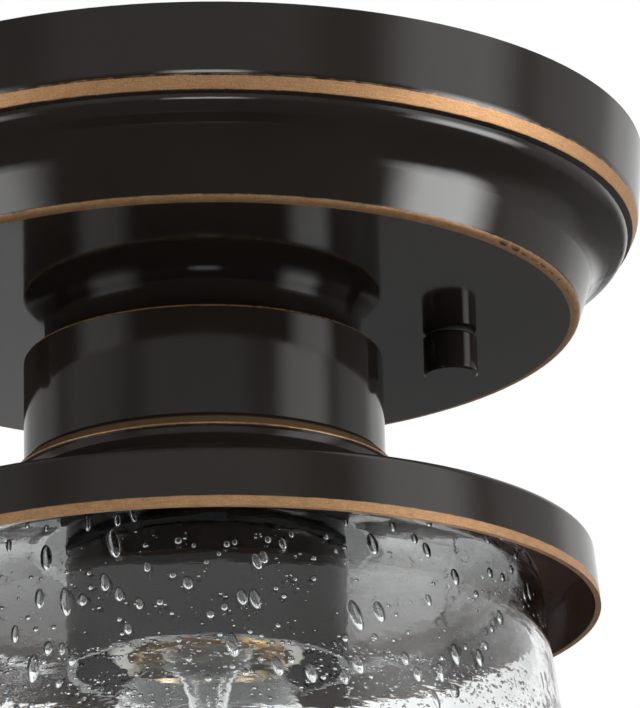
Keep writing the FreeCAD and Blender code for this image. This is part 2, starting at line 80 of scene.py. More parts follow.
# ---------------------------------------------------------------- colours
LACQUER = (0.0105, 0.0078, 0.0058, 1)
LACQUER_PATCH = (0.0175, 0.0138, 0.0112, 1)
LACQUER_MOTTLE = (0.0125, 0.0100, 0.0084, 1)
# Brown of the cap's underside: the coat's own brown, painted lighter as fill light where little light
# reaches.
CAP_INSIDE_BROWN_AND_FILL = (0.095, 0.056, 0.045, 1)
COPPER_DARK = (0.37, 0.19, 0.08, 1)
COPPER_LIGHT = (0.66, 0.40, 0.21, 1)
BRASS_DARK = (0.76, 0.50, 0.20, 1)
BRASS_LIGHT = (0.94, 0.70, 0.34, 1)
BRASS_TARNISH = (0.36, 0.22, 0.09, 1)
ZINC_LIGHT, ZINC_DARK = (0.72, 0.72, 0.70, 1), (0.42, 0.43, 0.44, 1)
STEEL_LIGHT, STEEL_DARK = (0.70, 0.70, 0.68, 1), (0.40, 0.41, 0.42, 1)
GREEN_LIGHT, GREEN_DARK = (0.06, 0.42, 0.14, 1), (0.02, 0.17, 0.05, 1)
FOAM_LIGHT, FOAM_DARK = (0.055, 0.055, 0.056, 1), (0.012, 0.012, 0.013, 1)
SEAL_LIGHT, SEAL_DARK = (0.030, 0.030, 0.031, 1), (0.010, 0.010, 0.011, 1)
CREAM_DARK, CREAM_LIGHT = (0.74, 0.66, 0.50, 1), (0.86, 0.81, 0.69, 1)
CREAM_SPECK = (0.42, 0.33, 0.20, 1)
INSULATOR_DARK, INSULATOR_LIGHT = (0.008, 0.008, 0.011, 1), (0.035, 0.032, 0.04, 1)
WIRE_DARK, WIRE_LIGHT = (0.10, 0.095, 0.09, 1), (0.30, 0.29, 0.28, 1)
SHADE_TINT = (0.955, 0.978, 0.978, 1)
BULB_TINT = (0.985, 0.99, 0.99, 1)
FLOOR_DARK, FLOOR_LIGHT = (0.86, 0.86, 0.86, 1), (0.90, 0.90, 0.90, 1)
WHITE = (1, 1, 1, 1)

# ---------------------------------------------------------------- surfaces
LACQUER_ROUGHNESS = (0.075, 0.125)
ORANGE_PEEL = 0.5                # depth of the lacquer's unevenness, as a share of its bump
COPPER_ROUGHNESS = (0.48, 0.62)
COPPER_METAL = 0.85              # the rest is what is left of the lacquer
BRASS_ROUGHNESS = (0.32, 0.46)
GLASS_IOR = 1.5


def shaded(colour, factor):
    """The colour made darker or lighter by the factor."""
    return (*(min(1.0, part * factor) for part in colour[:3]), 1)


# ---------------------------------------------------------------- node trees
class Tree:
    """Short names for building a node tree."""

    def __init__(self, tree):
        self.tree = tree
        tree.nodes.clear()

    def node(self, kind, **settings):
        made = self.tree.nodes.new(kind)
        for name, value in settings.items():
            setattr(made, name, value)
        return made

    def put(self, socket, value):
        """Links the socket to another one, or sets its value."""
        if isinstance(value, bpy.types.NodeSocket):
            self.tree.links.new(value, socket)
        else:
            socket.default_value = value

    def math(self, operation, *values, clamp=False):
        made = self.node("ShaderNodeMath", operation=operation, use_clamp=clamp)
        for socket, value in zip(made.inputs, values):
            self.put(socket, value)
        return made.outputs[0]

    def times(self, first, second):
        return self.math("MULTIPLY", first, second)

    def plus(self, first, second):
        return self.math("ADD", first, second)

    def weighed(self, first, share, second):
        """The share of the first and the rest of the second."""
        return self.plus(self.times(first, share), self.times(second, 1 - share))

    def vector(self, operation, *values):
        made = self.node("ShaderNodeVectorMath", operation=operation)
        for socket, value in zip(made.inputs, values):
            self.put(socket, value)
        return made.outputs["Value"] if operation in ("LENGTH", "DOT_PRODUCT") else made.outputs[0]

    def scaled(self, vector, factor):
        made = self.node("ShaderNodeVectorMath", operation="SCALE")
        self.put(made.inputs[0], vector)
        self.put(made.inputs["Scale"], factor)
        return made.outputs[0]

    def join(self, x, y, z):
        made = self.node("ShaderNodeCombineXYZ")
        for socket, value in zip(made.inputs, (x, y, z)):
            self.put(socket, value)
        return made.outputs[0]

    def split(self, vector):
        made = self.node("ShaderNodeSeparateXYZ")
        self.put(made.inputs[0], vector)
        return made.outputs

    def stretched(self, vector, factors):
        """The vector with each coordinate times its own factor."""
        return self.join(*(self.times(part, factor) for part, factor in zip(self.split(vector), factors)))

    def noise(self, vector, scale, detail=2.0, rough=0.5, distortion=0.0):
        made = self.node("ShaderNodeTexNoise")
        self.put(made.inputs["Vector"], vector)
        made.inputs["Scale"].default_value = scale
        made.inputs["Detail"].default_value = detail
        made.inputs["Roughness"].default_value = rough
        made.inputs["Distortion"].default_value = distortion
        return made.outputs["Fac"]

    def cells(self, vector, scale):
        """Voronoi cells: their distances and colours."""
        made = self.node("ShaderNodeTexVoronoi")
        self.put(made.inputs["Vector"], vector)
        made.inputs["Scale"].default_value = scale
        return made.outputs["Distance"], made.outputs["Color"]

    def step(self, value, low, high, to_low=0.0, to_high=1.0):
        """Smooth step of the value, from to_low at low to to_high at high."""
        made = self.node("ShaderNodeMapRange", interpolation_type="SMOOTHSTEP")
        for name, given in (("Value", value), ("From Min", low), ("From Max", high),
                            ("To Min", to_low), ("To Max", to_high)):
            self.put(made.inputs[name], given)
        return made.outputs[0]

    def blend(self, factor, first, second):
        """Colour mix: inputs 6 and 7 and output 2 are the node's colours."""
        made = self.node("ShaderNodeMix", data_type="RGBA")
        for place, value in ((0, factor), (6, first), (7, second)):
            self.put(made.inputs[place], value)
        return made.outputs[2]

    def between(self, factor, first, second):
        """Number mix: inputs 2 and 3 and output 0 are the node's numbers."""
        made = self.node("ShaderNodeMix", data_type="FLOAT")
        for place, value in ((0, factor), (2, first), (3, second)):
            self.put(made.inputs[place], value)
        return made.outputs[0]

    def bump(self, height, strength, distance):
        """The normal of a surface raised by the height, times a distance in metres."""
        made = self.node("ShaderNodeBump")
        made.inputs["Strength"].default_value = strength
        made.inputs["Distance"].default_value = distance
        self.put(made.inputs["Height"], height)
        return made.outputs[0]


class Finish(Tree):
    """A material with one shader, and place, the point on the object in mm."""

    def __init__(self, name):
        self.material = bpy.data.materials.new(name)
        self.material.use_nodes = True
        super().__init__(self.material.node_tree)
        self.shader = self.node("ShaderNodeBsdfPrincipled")
        self.surface = self.node("ShaderNodeOutputMaterial").inputs[0]
        self.put(self.surface, self.shader.outputs[0])
        self.place = self.scaled(self.node("ShaderNodeTexCoord").outputs["Object"], 1 / MM)

    def paint(self, colour, rough, normal=None, **more):
        """Sets the shader's inputs; more names further ones, with underscores for spaces."""
        given = {"Base_Color": colour, "Roughness": rough, **more}
        if normal is not None:
            given["Normal"] = normal
        for name, value in given.items():
            self.put(self.shader.inputs[name.replace("_", " ")], value)
        return self.material


# ---------------------------------------------------------------- finishes
def distance_to(tree, point, path):
    """Distance from the point (radius, height) to the nearest run of the path."""
    lengths = []
    for (r0, z0), (r1, z1) in zip(path, path[1:]):
        along = (r1 - r0, z1 - z0, 0.0)
        offset = tree.vector("SUBTRACT", point, (r0, z0, 0.0))
        reached = tree.vector("DOT_PRODUCT", offset, along)
        share = tree.math("DIVIDE", reached, along[0] ** 2 + along[1] ** 2, clamp=True)
        lengths.append(tree.vector("LENGTH", tree.vector("SUBTRACT", offset, tree.scaled(along, share))))
    nearest = lengths[0]
    for length in lengths[1:]:
        nearest = tree.math("MINIMUM", nearest, length)
    return nearest


def rubbed_cover(tree, point, edges):
    """How far the copper of the edges shows at the point, from 0 to 1."""
    wave = tree.noise(tree.stretched(tree.place, (1.0, 1.0, 2.5)), scale=0.55, detail=4.0, rough=0.6)
    cover = 0.0
    for edge in edges:
        shift = tree.times(tree.math("SUBTRACT", wave, 0.5), edge.waviness)
        away = tree.plus(distance_to(tree, point, edge.path), shift)
        outer, inner = edge.half_width + edge.softness, edge.half_width - edge.softness
        cover = tree.math("MAXIMUM", cover, tree.step(away, outer, inner, to_high=edge.strength))
    return cover


def bronze(name, rubbed=(), brown_and_fill=None):
    """Gloss black bronze lacquer, with copper on its rubbed edges.

    Along the given path the lacquer is a lighter brown: partly the coat's own brown, partly painted fill
    light where little light reaches.
    """
    tree = Finish(name)
    x, y, z = tree.split(tree.place)
    point = tree.join(tree.vector("LENGTH", tree.join(x, y, 0.0)), z, 0.0)
    mottle = tree.noise(tree.place, scale=0.6, detail=4.0, rough=0.6)
    colour = tree.blend(tree.noise(tree.place, scale=0.045, detail=3.0), LACQUER, LACQUER_PATCH)
    colour = tree.blend(tree.step(mottle, low=0.35, high=0.75), colour, LACQUER_MOTTLE)
    if brown_and_fill:
        # Painted fill light: the cap's underside is made a lighter brown along its path, partly the coat's
        # own colour.
        inside = tree.step(distance_to(tree, point, brown_and_fill), low=1.1, high=0.5)
        colour = tree.blend(tree.times(inside, 0.9), colour, CAP_INSIDE_BROWN_AND_FILL)
    smudge = tree.step(tree.noise(tree.place, scale=0.12, detail=5.0, rough=0.65), low=0.42, high=0.75)
    rough = tree.between(smudge, *LACQUER_ROUGHNESS)
    height = tree.times(tree.noise(tree.place, scale=0.9, rough=0.4), ORANGE_PEEL)
    metal = 0.0
    if rubbed:
        cover = rubbed_cover(tree, point, rubbed)
        brush = tree.noise(tree.stretched(tree.place, (0.35, 0.35, 5.0)), scale=1.1, detail=3.0, rough=0.6)
        grain = tree.noise(tree.place, scale=5.5, rough=0.7)
        worn = tree.step(tree.weighed(grain, 0.6, brush), low=0.2, high=0.4)
        cover = tree.times(cover, tree.between(cover, worn, 1.0))
        tone = tree.weighed(grain, 0.7, brush)
        copper = tree.blend(tree.step(tone, low=0.32, high=0.68), COPPER_DARK, COPPER_LIGHT)
        colour = tree.blend(cover, colour, copper)
        rough = tree.between(cover, rough, tree.between(grain, *COPPER_ROUGHNESS))
        height = tree.plus(height, tree.times(tree.times(tone, cover), 0.6))
        metal = tree.times(cover, COPPER_METAL)
    normal = tree.bump(height, strength=0.12, distance=0.00006)
    return tree.paint(colour, rough, normal, Metallic=metal, IOR=1.5)


def plated(name, light, dark, spangle=0.22, brush=(0.3, 6.0, 6.0), rough=(0.26, 0.42), metal=1.0):
    """Plated steel with a drawn grain, soft spangle and a few darker spots."""
    tree = Finish(name)
    grain = tree.noise(tree.stretched(tree.place, brush), scale=1.0, detail=4.0, rough=0.65)
    crystals = tree.split(tree.cells(tree.place, spangle)[1])[0]
    spots = tree.step(tree.noise(tree.place, scale=0.35, detail=5.0, rough=0.7), low=0.62, high=0.78)
    colour = tree.blend(tree.weighed(crystals, 0.5, grain), dark, light)
    colour = tree.blend(tree.times(spots, 0.5), colour, shaded(dark, 0.55))
    normal = tree.bump(grain, strength=0.25, distance=0.00008)
    return tree.paint(colour, tree.between(grain, *rough), normal, Metallic=metal)


def brass(name, thread_pitch=0.0):
    """Warm satin brass; with a pitch, a rolled thread runs round the piece."""
    tree = Finish(name)
    tone = tree.noise(tree.stretched(tree.place, (0.5, 0.5, 4.0)), scale=0.9, detail=4.0, rough=0.6)
    tarnish = tree.step(tree.noise(tree.place, scale=0.3, detail=4.0, rough=0.6), low=0.45, high=0.8)
    colour = tree.blend(tone, BRASS_DARK, BRASS_LIGHT)
    colour = tree.blend(tree.times(tarnish, 0.55), colour, BRASS_TARNISH)
    height = tree.times(tone, 0.08)
    if thread_pitch:
        x, y, z = tree.split(tree.place)
        turn = tree.math("DIVIDE", tree.math("ARCTAN2", y, x), 2 * math.pi)
        phase = tree.plus(tree.math("DIVIDE", z, thread_pitch), turn)
        wave = tree.math("SINE", tree.times(phase, 2 * math.pi))
        normal = tree.bump(tree.plus(height, tree.times(wave, 0.5)), strength=1.0, distance=0.0006)
    else:
        normal = tree.bump(height, strength=0.3, distance=0.0001)
    return tree.paint(colour, tree.between(tone, *BRASS_ROUGHNESS), normal, Metallic=1.0)


def rubber(name, light, dark, cell, rough, depth):
    """Foam or rubber with fine cells and dust."""
    tree = Finish(name)
    dust = tree.step(tree.noise(tree.place, scale=0.4, detail=5.0, rough=0.65), low=0.5, high=0.8)
    pore = tree.step(tree.cells(tree.place, cell)[0], low=0.1, high=0.5)
    colour = tree.blend(tree.times(dust, 0.25), tree.blend(pore, dark, light), shaded(light, 2.5))
    dusty = min(1.0, rough + 0.12)
    return tree.paint(colour, tree.between(dust, rough, dusty), tree.bump(pore, strength=0.5, distance=depth))


def porcelain():
    tree = Finish("cream_glaze")
    pool = tree.noise(tree.place, scale=0.16, detail=4.0, rough=0.55)
    speck = tree.step(tree.noise(tree.place, scale=2.6, rough=0.6), low=0.68, high=0.76)
    colour = tree.blend(tree.times(speck, 0.6), tree.blend(pool, CREAM_DARK, CREAM_LIGHT), CREAM_SPECK)
    normal = tree.bump(tree.noise(tree.place, scale=0.5, detail=3.0), strength=0.2, distance=0.0002)
    return tree.paint(colour, tree.between(pool, 0.12, 0.26), normal, Coat_Weight=0.6, Coat_Roughness=0.06)


def black_glass():
    tree = Finish("black_insulator")
    swirl = tree.noise(tree.place, scale=0.5, detail=4.0, rough=0.6, distortion=0.8)
    colour = tree.blend(swirl, INSULATOR_DARK, INSULATOR_LIGHT)
    normal = tree.bump(swirl, strength=0.3, distance=0.0002)
    return tree.paint(colour, tree.between(swirl, 0.08, 0.2), normal)


def clear_glass(name, tint, ripples):
    """Clear glass; ripples lists (scale round the axis, scale along it, depth) of hand-made unevenness."""
    tree = Finish(name)
    height = 0.0
    for across, along, depth in ripples:
        wave = tree.noise(tree.stretched(tree.place, (across, across, along)), scale=1.0, detail=3.0)
        height = tree.plus(height, tree.times(wave, depth))
    colour = tree.blend(tree.noise(tree.place, scale=0.02), tint, WHITE)
    normal = tree.bump(height, strength=1.0, distance=MM)
    return tree.paint(colour, 0.0, normal, Transmission_Weight=1.0, IOR=GLASS_IOR)


def wire_metal():
    tree = Finish("dark_wire")
    drawn = tree.noise(tree.place, scale=6.0, detail=3.0, rough=0.6)
    colour = tree.blend(drawn, WIRE_DARK, WIRE_LIGHT)
    normal = tree.bump(drawn, strength=0.3, distance=0.00003)
    return tree.paint(colour, tree.between(drawn, 0.3, 0.5), normal, Metallic=1.0)


# ---------------------------------------------------------------- finishes on the CAD pieces
def dress():
    """Gives each CAD piece its finish; returns the shade's glass, the lamp's glass and the wire's metal."""
    shade_glass = clear_glass("seeded_glass", SHADE_TINT, [(0.10, 0.55, 0.025), (0.05, 0.09, 0.20)])
    lamp_glass = clear_glass("lamp_glass", BULB_TINT, [(0.06, 0.06, 0.05)])
    wire = wire_metal()
    steel = plated("zinc_steel", STEEL_LIGHT, STEEL_DARK, spangle=0.8, brush=(1.5, 1.5, 8.0))
    green = plated("ground_green", GREEN_LIGHT, GREEN_DARK, spangle=0.8, brush=(2.0, 2.0, 6.0),
                   rough=(0.3, 0.4), metal=0.85)
    for material, pieces in (
        (bronze("bronze_plain"), "fitter_tube cap_ring_nut shade_collar left_cap_nut right_cap_nut"),
        (bronze("bronze_canopy", [BEVEL, BEVEL_LINE, LIP]), "canopy"),
        (bronze("bronze_neck", [NECK_EDGE]), "neck"),
        (bronze("bronze_base_ring", [RING_SLOPE, RING_EDGE, RING_TOE]), "neck_base_ring"),
        (bronze("bronze_cap", [CAP_EDGE, CAP_RIM], CAP_INSIDE), "cap"),
        (plated("zinc_bar", ZINC_LIGHT, ZINC_DARK), "mounting_bar"),
        (steel, "canopy_studs stud_lock_nuts nipple canopy_lock_washer canopy_nut fitter_nut"),
        (steel, "socket_bracket socket_screws lamp_contact"),
        (green, "ground_screw"),
        (rubber("foam", FOAM_LIGHT, FOAM_DARK, cell=1.6, rough=0.85, depth=0.0003), "canopy_gasket"),
        (rubber("seal", SEAL_LIGHT, SEAL_DARK, cell=4.0, rough=0.6, depth=0.0001),
         "upper_gasket lower_gasket left_seal_washer right_seal_washer"),
        (brass("brass_plain"), "terminal_screws centre_contact"),
        (brass("brass_threaded", LAMP_PITCH), "screw_shell lamp_base"),
        (porcelain(), "socket_body"),
        (black_glass(), "lamp_insulator"),
        (shade_glass, "glass_shade"),
        (lamp_glass, "lamp_envelope lamp_stem"),
        (wire, "lamp_wires lamp_filament"),
    ):
        for piece in pieces.split():
            mesh = nodes[piece].data
            mesh.materials.clear()
            mesh.materials.append(material)
    return shade_glass, lamp_glass, wire


def add_piece(name, data, material):
    """A new object in the scene, with its one material."""
    data.materials.append(material)
    piece = bpy.data.objects.new(name, data)
    bpy.context.scene.collection.objects.link(piece)
    return piece


def add_smooth(name, points, faces, material):
    data = bpy.data.meshes.new(name)
    data.from_pydata(points, [], faces)
    data.polygons.foreach_set("use_smooth", [True] * len(data.polygons))
    return add_piece(name, data, material)


# ---------------------------------------------------------------- seeds in the shade's glass
# The outside of the glass, as points (height, radius), and the photographed part of it.
GLASS_TOP = -69.2
GLASS_BOTTOM = -198.0
GLASS_OUTSIDE = [(GLASS_TOP, 0.0), (-69.3, 50.0), (-72.0, 56.2), (-75.3, 58.3), (-96.2, 60.3),
                 (GLASS_BOTTOM, 75.5)]
SHOWN_FROM, SHOWN_TO, SHOWN_DOWN_TO = -39.0, 62.0, -111.0
SEED_DEPTH = 1.5                 # from the outside to a seed's middle
SEED_THICKNESS = (0.4, 1.5)      # through the wall, as a share of the width and at most
SEED_REACH = 62.0                # radius at which the gaps between seeds are worked out

# Photographed seeds: degrees round the axis from the front, height, length, width and lean in degrees.
SEEDS = [
    (-32.7, -87.2, 4.7, 2.2, 8), (-33.6, -94.2, 3.6, 1.7, 5), (-28.9, -95.4, 5.2, 2.0, 8),
    (-26.0, -95.4, 2.3, 1.6, 5), (-21.0, -86.0, 5.4, 2.2, 12), (-22.4, -92.7, 3.3, 1.7, 8),
    (-20.0, -95.0, 2.7, 1.5, 8), (-16.7, -96.9, 2.3, 1.4, 8), (-18.4, -101.2, 2.2, 1.4, 10),
    (-37.7, -99.7, 3.3, 1.5, 5), (-33.9, -106.4, 5.1, 2.3, 2), (-31.5, -103.2, 2.6, 1.7, 0),
    (-29.1, -103.6, 2.3, 1.3, 5), (-27.3, -105.8, 2.2, 1.5, 0), (-9.0, -93.7, 2.5, 1.8, 10),
    (2.1, -90.0, 3.0, 1.7, 15), (3.2, -89.2, 2.4, 1.5, 10), (-0.5, -96.3, 3.0, 1.7, 12),
    (1.6, -96.6, 3.7, 1.8, 12), (6.4, -86.7, 2.2, 1.4, 15), (-2.2, -104.7, 4.5, 2.1, 10),
    (4.6, -108.3, 3.6, 1.8, 15), (-15.5, -90.6, 1.9, 1.3, 8), (-10.5, -86.2, 1.4, 1.3, 0),
    (-2.7, -87.0, 1.3, 1.1, 0), (-1.4, -86.7, 1.1, 0.9, 0), (4.0, -86.1, 1.4, 1.2, 0),
    (-11.4, -92.2, 1.3, 1.2, 0), (-13.4, -96.8, 1.4, 1.2, 0), (-5.5, -99.3, 1.6, 1.3, 0),
    (-3.3, -98.0, 1.5, 1.2, 0), (-25.6, -82.0, 2.9, 1.1, 5), (-20.5, -82.0, 2.2, 1.1, 5),
    (-17.9, -81.3, 2.8, 1.0, 18), (-36.6, -80.8, 1.1, 0.9, 0), (-32.9, -81.9, 1.3, 1.0, 0),
    (-33.9, -99.5, 0.9, 1.0, 0), (-35.5, -97.2, 0.9, 1.0, 0), (-30.7, -99.6, 0.9, 0.9, 0),
    (-25.1, -90.8, 0.9, 0.9, 0), (-24.7, -93.3, 1.0, 1.0, 0), (-19.8, -99.4, 1.0, 0.9, 0),
    (-19.3, -102.0, 0.8, 0.8, 0), (-8.0, -87.2, 0.9, 0.8, 0), (-6.0, -90.1, 1.0, 0.9, 0),
    (-4.0, -88.7, 0.9, 0.8, 0), (5.0, -94.6, 0.9, 0.9, 0), (6.2, -96.0, 1.1, 1.1, 0),
    (5.0, -101.1, 1.0, 0.9, 0), (0.6, -102.3, 1.0, 1.0, 0), (2.3, -103.0, 0.8, 0.8, 0),
    (-4.1, -102.8, 1.0, 1.0, 0), (-11.5, -98.9, 0.8, 0.8, 0), (-10.4, -103.6, 1.2, 1.0, 0),
    (-15.8, -86.8, 0.9, 0.9, 0), (-28.9, -90.2, 0.8, 0.8, 0), (-28.0, -92.4, 0.6, 0.7, 0),
    (-18.8, -96.6, 0.6, 0.6, 0), (-8.9, -107.0, 1.2, 1.1, 0), (-0.4, -109.5, 1.4, 1.1, 0),
    (-6.0, -110.5, 1.4, 1.2, 0), (-18.0, -112.3, 1.3, 1.2, 0), (-29.3, -109.6, 1.7, 1.2, 0),
    (2.1, -107.0, 1.2, 1.1, 0), (-2.3, -108.4, 1.1, 1.0, 0), (-32.1, -105.4, 1.2, 1.2, 0),
    (-25.6, -82.1, 2.2, 1.0, 5), (22.0, -85.5, 3.8, 2.1, 12), (26.1, -81.8, 1.9, 1.4, 15),
    (30.4, -83.3, 1.8, 1.5, 10), (32.8, -84.9, 2.7, 1.7, 15), (33.9, -79.8, 1.6, 1.5, 10),
    (17.3, -82.2, 1.3, 1.0, 0), (38.7, -88.6, 3.0, 2.0, 12), (48.4, -85.7, 1.9, 1.7, 15),
    (52.4, -85.6, 1.6, 1.6, 15), (48.9, -79.5, 2.0, 1.6, 20), (54.0, -78.1, 1.6, 1.7, 20),
    (58.9, -80.1, 1.8, 2.1, 15), (56.1, -83.2, 1.6, 1.6, 10), (32.1, -93.8, 2.2, 1.3, 12),
    (18.0, -98.5, 5.5, 2.3, 15), (22.2, -97.4, 3.8, 2.1, 12), (49.7, -93.4, 2.7, 2.1, 12),
    (43.6, -90.6, 1.4, 1.4, 10), (46.8, -96.1, 1.4, 1.4, 5), (36.6, -102.7, 3.9, 2.2, 8),
    (42.2, -102.2, 3.3, 2.0, 5), (44.3, -99.6, 1.8, 1.4, 8), (26.1, -105.1, 2.5, 1.8, 5),
    (28.1, -107.5, 2.8, 1.8, 5), (17.7, -107.0, 3.7, 2.3, 8), (15.1, -109.5, 2.8, 1.8, 5),
    (9.8, -109.2, 3.7, 2.0, 8), (32.8, -106.5, 3.5, 2.0, 5), (20.9, -102.0, 1.4, 1.2, 0),
    (15.8, -102.7, 1.4, 1.2, 0), (39.1, -100.9, 1.2, 1.0, 0), (33.4, -103.8, 1.1, 0.9, 0),
    (6.8, -107.1, 1.5, 1.2, 0), (11.3, -92.5, 1.1, 1.0, 0), (11.5, -89.0, 0.9, 0.9, 0),
    (8.2, -92.8, 0.9, 0.8, 0), (6.2, -96.0, 1.1, 1.0, 0), (15.3, -87.4, 0.8, 0.8, 0),
    (13.8, -85.0, 1.2, 1.0, 0), (7.9, -85.0, 1.3, 0.9, 0), (25.3, -97.5, 0.7, 0.8, 0),
    (24.3, -102.1, 0.7, 0.8, 0), (19.6, -109.0, 0.9, 0.9, 0), (11.7, -109.8, 1.1, 1.1, 0),
    (35.2, -109.3, 2.5, 2.1, 5), (27.2, -100.3, 0.8, 0.6, 0), (33.5, -100.2, 0.4, 0.6, 0),
    (34.8, -98.8, 0.4, 0.6, 0),
]


def wall_at(z):
    """Outer radius of the glass at the height, and the wall's lean from upright in radians."""
    for (z0, r0), (z1, r1) in zip(GLASS_OUTSIDE, GLASS_OUTSIDE[1:]):
        if z >= z1:
            share = (z - z0) / (z1 - z0)
            return r0 + (r1 - r0) * share, math.atan2(r1 - r0, z0 - z1)
    return GLASS_OUTSIDE[-1][1], 0.0


def unit_ball(segments, rings):
    """Points and faces of a ball of radius 1, with its poles up and down."""
    points = [(0.0, 0.0, 1.0)]
    for k in range(1, rings):
        lean = math.pi * k / rings
        for i in range(segments):
            turn = 2 * math.pi * i / segments
            points.append((math.sin(lean) * math.cos(turn), math.sin(lean) * math.sin(turn), math.cos(lean)))
    points.append((0.0, 0.0, -1.0))
    last = len(points) - 1
    faces = []
    for i in range(segments):
        after = (i + 1) % segments
        faces.append((0, 1 + i, 1 + after))
        faces.append((last, last - segments + after, last - segments + i))
        for k in range(rings - 2):
            row = 1 + k * segments
            faces.append((row + i, row + segments + i, row + segments + after, row + after))
    return points, faces


FINE_BALL, PLAIN_BALL, SPECK_BALL = unit_ball(16, 12), unit_ball(10, 8), unit_ball(5, 3)


class Seeds:
    """The seeds as one mesh of closed bubbles."""

    def __init__(self):
        self.points, self.faces, self.taken = [], [], []

    def add(self, ball, around, z, length, width, lean=0.0, depth=SEED_DEPTH):
        """One bubble in the wall, long along it; its faces look inward, because it is air inside glass."""
        radius, slope = wall_at(z)
        share, most = SEED_THICKNESS
        thick = min(width * share, most)
        turn = math.radians(around)
        centre = Vector((math.sin(turn), -math.cos(turn), 0.0)) * (radius - depth) + Vector((0.0, 0.0, z))
        place = (Matrix.Translation(centre * MM) @ Matrix.Rotation(turn, 4, "Z")
                 @ Matrix.Rotation(-slope, 4, "X") @ Matrix.Rotation(math.radians(-lean), 4, "Y")
                 @ Matrix.Diagonal((width / 2 * MM, thick / 2 * MM, length / 2 * MM, 1.0)))
        points, faces = ball
        first = len(self.points)
        self.points.extend(tuple(place @ Vector(point)) for point in points)
        self.faces.extend(tuple(first + i for i in reversed(face)) for face in faces)

    def add_apart(self, ball, around, z, length, width, lean):
        """A bubble that later ones keep clear of."""
        self.add(ball, around, z, length, width, lean)
        self.taken.append((around, z, length))

    def is_free(self, around, z, gap):
        for other, height, size in self.taken:
            across = math.radians((around - other + 180) % 360 - 180) * SEED_REACH
            if abs(z - height) < (gap + size) / 2 and abs(across) < gap:
                return False
        return True


def add_seeds(material):
    """The photographed seeds, and more of the same kind all round, closer together and finer low down."""
    made = Seeds()
    for around, z, length, width, lean in SEEDS:
        made.add_apart(FINE_BALL, around, z, length, width, lean)

    rng = random.Random(41)
    top, bottom = GLASS_TOP - 9, GLASS_BOTTOM + 4
    # Each kind's count, shortest and longest length, and width as a share of the length.
    drops, balls = (260, 2.0, 5.2, 0.45), (420, 0.8, 1.5, 0.9)
    for count, shortest, longest, slimness in (drops, balls):
        for _ in range(count):
            around = rng.uniform(-180, 180)
            z = top - (top - bottom) * rng.random() ** 0.9
            length = rng.uniform(shortest, longest)
            width = min(length * rng.uniform(slimness - 0.08, slimness + 0.08), 2.3)
            lean = rng.uniform(0, 15)
            photographed = SHOWN_FROM < around < SHOWN_TO and z > SHOWN_DOWN_TO
            if not photographed and made.is_free(around, z, length + 0.6):
                made.add_apart(PLAIN_BALL, around, z, length, width, lean)

    # Each stretch's count of specks, highest and lowest height, and how they crowd towards its top.
    sparse, dense = (900, -84.0, -106.0, 0.8), (13000, -104.0, -194.0, 1.5)
    for count, top, bottom, crowding in (sparse, dense):
        for _ in range(count):
            around = rng.uniform(-180, 180)
            z = top + (bottom - top) * rng.random() ** crowding
            size = 0.2 + 0.4 * rng.random() ** 3
            stretch = rng.uniform(1.0, 1.4)
            made.add(SPECK_BALL, around, z, size * stretch, size * 2, depth=rng.uniform(0.5, 2.5))

    piece = add_smooth("glass_seeds", made.points, made.faces, material)
    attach(piece, "shade")


# ---------------------------------------------------------------- lamp details
# The stem, in metres as the frame's boxes are: the flare's curve, the tube below it and its bore.
STEM_TUBE_RADIUS = 0.0032
STEM_WALL = 0.0007
STEM_FLARE_LENGTH = 0.0125
STEM_FLARE_PULL = (0.0008, 0.0022)      # the curve's middle point, out from the tube and down from the top
STEM_ROUNDING = 0.0024
STEM_BORE = [(STEM_TUBE_RADIUS - STEM_WALL, 0.0085), (0.0012, 0.0066), (0.0, 0.0062)]   # above the tip
STEM_SEGMENTS = 72

# The filament's coil, with the wire's radius in metres.
COIL_WIRE = 0.00009
COIL_TURNS = 62
COIL_POINTS_PER_TURN = 12


def lathe(profile, segments):
    """Points and faces of a profile of (radius, height), from the axis to the axis, turned round it."""
    points = [(0.0, 0.0, profile[0][1]), (0.0, 0.0, profile[-1][1])]
    for radius, z in profile[1:-1]:
        for i in range(segments):
            turn = 2 * math.pi * i / segments
            points.append((radius * math.cos(turn), radius * math.sin(turn), z))
    rows = len(profile) - 2
    last = 2 + (rows - 1) * segments
    faces = []
    for i in range(segments):
        after = (i + 1) % segments
        faces.append((0, 2 + after, 2 + i))
        for k in range(rows - 1):
            row = 2 + k * segments
            faces.append((row + i, row + after, row + segments + after, row + segments + i))
        faces.append((last + i, last + after, 1))
    return points, faces


def stem_flare(edge, top, inset):
    """The flare's curve, down and in from its edge to the tube; the inset is for its inside."""
    pull_out, pull_down = STEM_FLARE_PULL
    start = (edge - inset, top)
    pull = (STEM_TUBE_RADIUS + pull_out - inset, top - pull_down)
    end = (STEM_TUBE_RADIUS - inset, top - STEM_FLARE_LENGTH)
    steps = 16
    for i in range(steps + 1):
        t = i / steps
        yield tuple((1 - t) ** 2 * a + 2 * t * (1 - t) * b + t * t * c for a, b, c in zip(start, pull, end))


def add_stem(material):
    """The lamp's thin glass stem: a hollow flare sealed to the neck, drawn down to a closed tip."""
    low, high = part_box("lamp_stem")
    tip, edge, top = low.z, high.x, high.z
    outside = list(stem_flare(edge, top, 0.0))
    steps = 8
    for i in range(steps + 1):
        turn = math.pi / 2 * i / steps
        outside.append((STEM_TUBE_RADIUS - STEM_ROUNDING + STEM_ROUNDING * math.cos(turn),
                        tip + STEM_ROUNDING - STEM_ROUNDING * math.sin(turn)))
    inside = list(stem_flare(edge, top, STEM_WALL)) + [(radius, tip + above) for radius, above in STEM_BORE]
    points, faces = lathe([(0.0, tip)] + outside[::-1] + inside, STEM_SEGMENTS)
    piece = add_smooth("stem_glass", points, faces, material)
    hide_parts("lamp_stem")
    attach(piece, "lamp")


